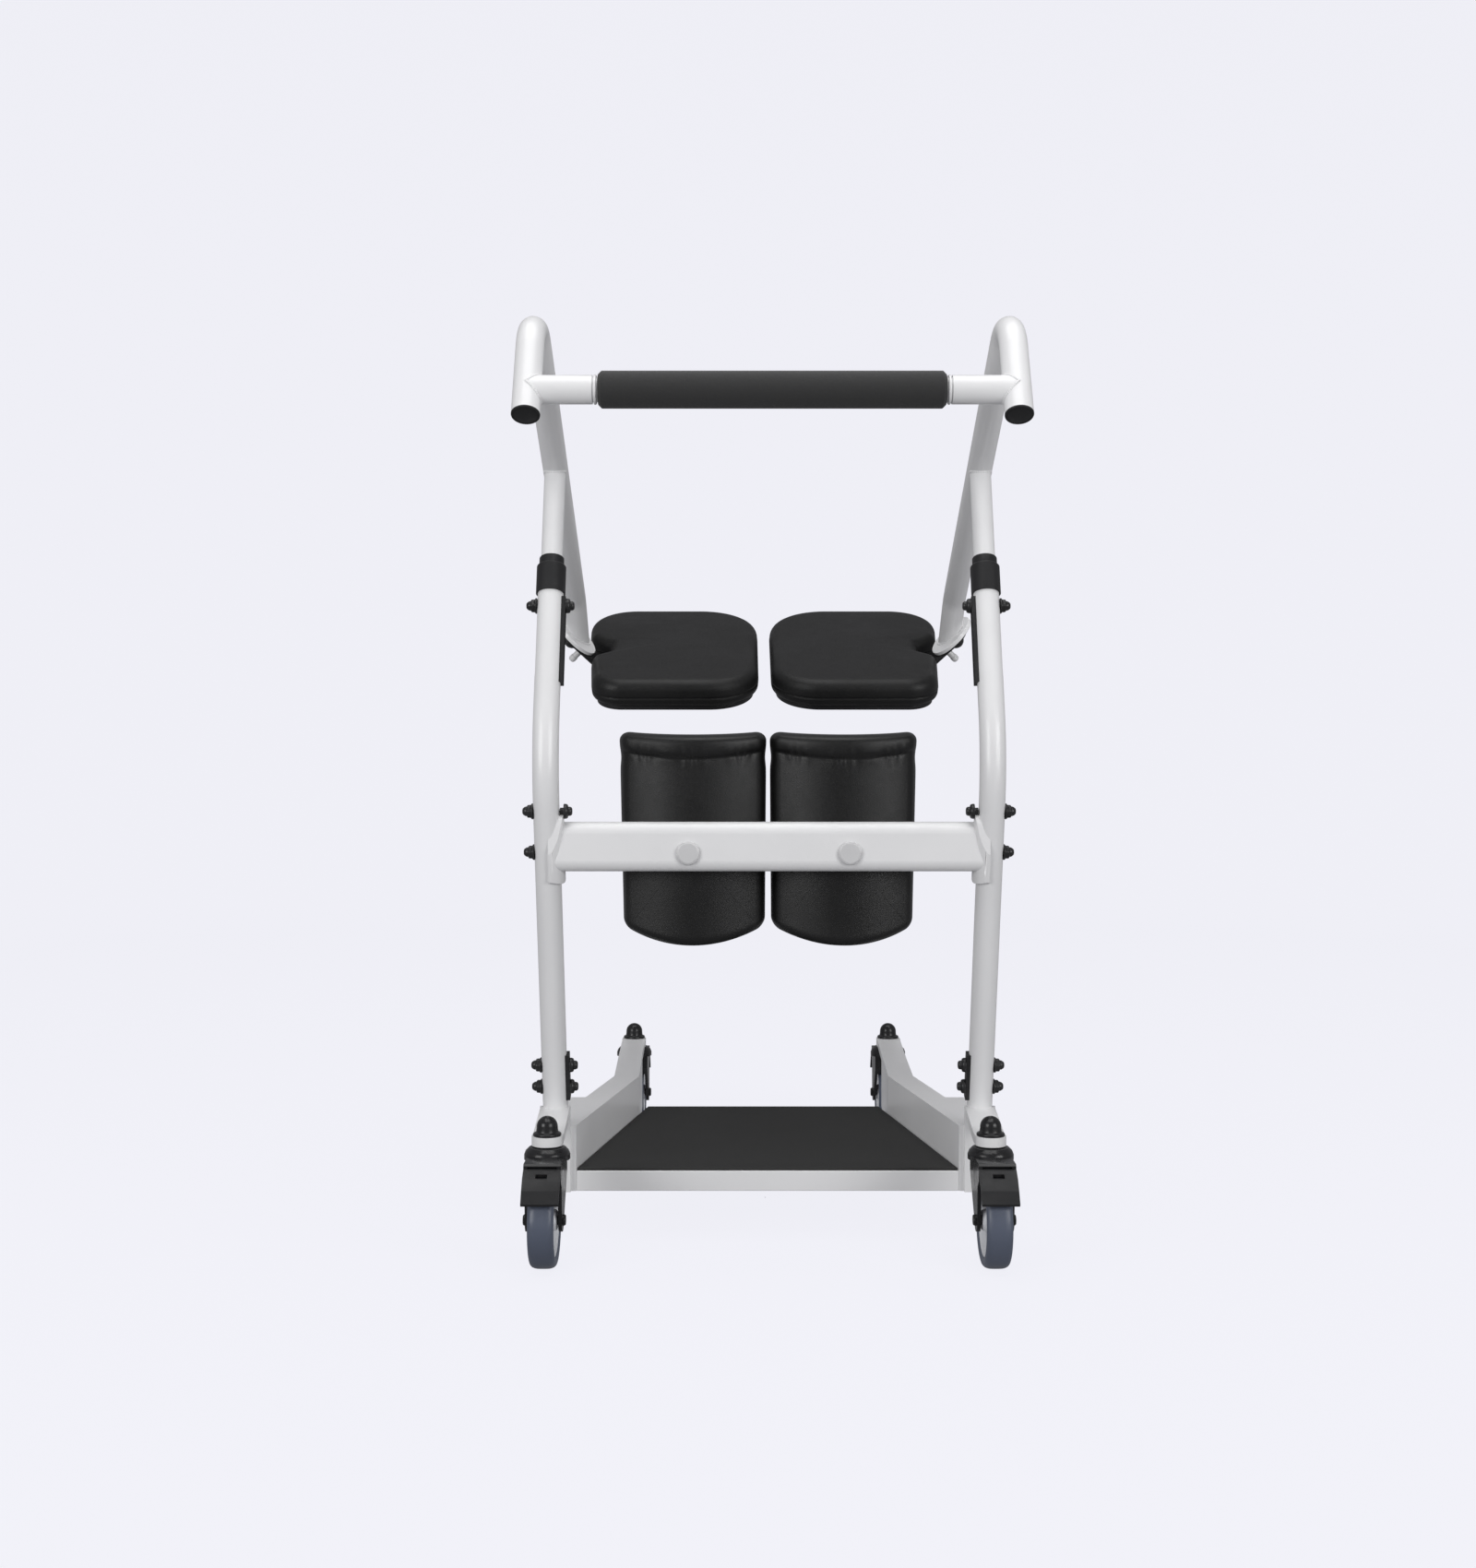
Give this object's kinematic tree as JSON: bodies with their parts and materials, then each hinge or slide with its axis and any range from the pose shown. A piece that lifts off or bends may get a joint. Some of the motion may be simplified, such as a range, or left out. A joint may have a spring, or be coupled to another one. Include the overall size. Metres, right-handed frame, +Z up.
{
  "type": "sit to stand lift",
  "caption": "Wheeled sit to stand lift with hoop arms and a foam handlebar, swinging split seat pads, padded knee rests, rubber footplate and braked swivel casters.",
  "frame": {"origin": "on the floor, in the middle of the length and width", "axes": "+Z up, +X across, +Y from the handlebar towards the person's back"},
  "size_m": [0.5246, 0.9675, 0.9767],
  "materials": {
    "white_paint": "satin",
    "black_bolts": "satin",
    "black_plastic": "satin",
    "gloss_black": "gloss",
    "black_steel": "satin",
    "grey_caps": "satin",
    "grip_foam": "matte",
    "black_vinyl": "satin",
    "rubber_mat": "matte",
    "tyre": "satin",
    "hub_plastic": "satin"
  },
  "bodies": {
    "base": {"upright_left": "white_paint", "upright_right": "white_paint", "upright_spigots": "white_paint", "base_bolt_strips": "black_plastic", "base_bolts": "black_bolts", "slot_strips": "black_plastic", "height_collars": "black_plastic", "knee_beam_saddles": "white_paint", "knee_beam": "white_paint", "knee_beam_bolts": "black_bolts", "knee_pad_shell_left": "black_plastic", "knee_pad_shell_right": "black_plastic", "knee_pad_left": "black_vinyl", "knee_pad_right": "black_vinyl", "knee_pad_spacers": "black_plastic", "knee_pad_bolts": "grey_caps", "base_leg_left": "white_paint", "base_leg_right": "white_paint", "front_bracket_left": "white_paint", "front_bracket_right": "white_paint", "front_cross_rail": "white_paint", "rear_cross_rail": "white_paint", "footplate_pan": "white_paint", "footplate_mat": "rubber_mat", "caster_stems": "gloss_black"},
    "upper_frame": {"arm_tube_left": "white_paint", "arm_tube_right": "white_paint", "inner_tube_left": "white_paint", "inner_tube_right": "white_paint", "height_bolts": "black_bolts", "tube_end_caps": "black_plastic", "handle_sleeves": "white_paint", "grip_tube": "white_paint", "foam_grip": "grip_foam", "seat_hinge_disc_left": "white_paint", "seat_hinge_disc_right": "white_paint"},
    "seat_left": {"seat_hinge_plate_left": "black_steel", "seat_pivot_pins_left": "black_bolts", "seat_cushion_left": "black_vinyl", "seat_board_left": "black_plastic"},
    "seat_right": {"seat_hinge_plate_right": "black_steel", "seat_pivot_pins_right": "black_bolts", "seat_cushion_right": "black_vinyl", "seat_board_right": "black_plastic"},
    "caster_front_left": {"caster_fork_front_left": "gloss_black"},
    "wheel_front_left": {"caster_tyre_front_left": "tyre", "caster_hub_front_left": "hub_plastic"},
    "pedal_front_left": {"brake_pedal_front_left": "black_plastic"},
    "caster_front_right": {"caster_fork_front_right": "gloss_black"},
    "wheel_front_right": {"caster_tyre_front_right": "tyre", "caster_hub_front_right": "hub_plastic"},
    "pedal_front_right": {"brake_pedal_front_right": "black_plastic"},
    "caster_rear_left": {"caster_fork_rear_left": "gloss_black"},
    "wheel_rear_left": {"caster_tyre_rear_left": "tyre", "caster_hub_rear_left": "hub_plastic"},
    "pedal_rear_left": {"brake_pedal_rear_left": "black_plastic"},
    "caster_rear_right": {"caster_fork_rear_right": "gloss_black"},
    "wheel_rear_right": {"caster_tyre_rear_right": "tyre", "caster_hub_rear_right": "hub_plastic"},
    "pedal_rear_right": {"brake_pedal_rear_right": "black_plastic"}
  },
  "joints": [
    {"name": "height_slide", "type": "slide", "parent": "base", "child": "upper_frame", "axis": [0, 0.3486, 0.9373], "range_m": [-0.08, 0]},
    {"name": "seat_swing_left", "type": "hinge", "parent": "upper_frame", "child": "seat_left", "pos_m": [-0.2365, 0.11454, 0.69024], "axis": [0.7071, -0.2786, 0.6499], "range_deg": [0, 150]},
    {"name": "seat_swing_right", "type": "hinge", "parent": "upper_frame", "child": "seat_right", "pos_m": [0.2365, 0.11454, 0.69024], "axis": [0.7071, 0.2786, -0.6499], "range_deg": [0, 150]},
    {"name": "swivel_front_left", "type": "hinge", "parent": "base", "child": "caster_front_left", "pos_m": [-0.2365, -0.27924, 0], "axis": [0, 0, 1], "continuous": true},
    {"name": "wheel_spin_front_left", "type": "hinge", "parent": "caster_front_left", "child": "wheel_front_left", "pos_m": [-0.2365, -0.30924, 0.05], "axis": [1, 0, 0], "continuous": true},
    {"name": "brake_front_left", "type": "hinge", "parent": "caster_front_left", "child": "pedal_front_left", "pos_m": [-0.2365, -0.32774, 0.1054], "axis": [1, 0, 0], "range_deg": [0, 8]},
    {"name": "swivel_front_right", "type": "hinge", "parent": "base", "child": "caster_front_right", "pos_m": [0.2365, -0.27924, 0], "axis": [0, 0, 1], "continuous": true},
    {"name": "wheel_spin_front_right", "type": "hinge", "parent": "caster_front_right", "child": "wheel_front_right", "pos_m": [0.2365, -0.30924, 0.05], "axis": [1, 0, 0], "continuous": true},
    {"name": "brake_front_right", "type": "hinge", "parent": "caster_front_right", "child": "pedal_front_right", "pos_m": [0.2365, -0.32774, 0.1054], "axis": [1, 0, 0], "range_deg": [0, 8]},
    {"name": "swivel_rear_left", "type": "hinge", "parent": "base", "child": "caster_rear_left", "pos_m": [-0.181, 0.40076, 0], "axis": [0, 0, 1], "continuous": true},
    {"name": "wheel_spin_rear_left", "type": "hinge", "parent": "caster_rear_left", "child": "wheel_rear_left", "pos_m": [-0.181, 0.43076, 0.05], "axis": [1, 0, 0], "continuous": true},
    {"name": "brake_rear_left", "type": "hinge", "parent": "caster_rear_left", "child": "pedal_rear_left", "pos_m": [-0.181, 0.44926, 0.1054], "axis": [-1, 0, 0], "range_deg": [0, 8]},
    {"name": "swivel_rear_right", "type": "hinge", "parent": "base", "child": "caster_rear_right", "pos_m": [0.181, 0.40076, 0], "axis": [0, 0, 1], "continuous": true},
    {"name": "wheel_spin_rear_right", "type": "hinge", "parent": "caster_rear_right", "child": "wheel_rear_right", "pos_m": [0.181, 0.43076, 0.05], "axis": [1, 0, 0], "continuous": true},
    {"name": "brake_rear_right", "type": "hinge", "parent": "caster_rear_right", "child": "pedal_rear_right", "pos_m": [0.181, 0.44926, 0.1054], "axis": [-1, 0, 0], "range_deg": [0, 8]}
  ]
}
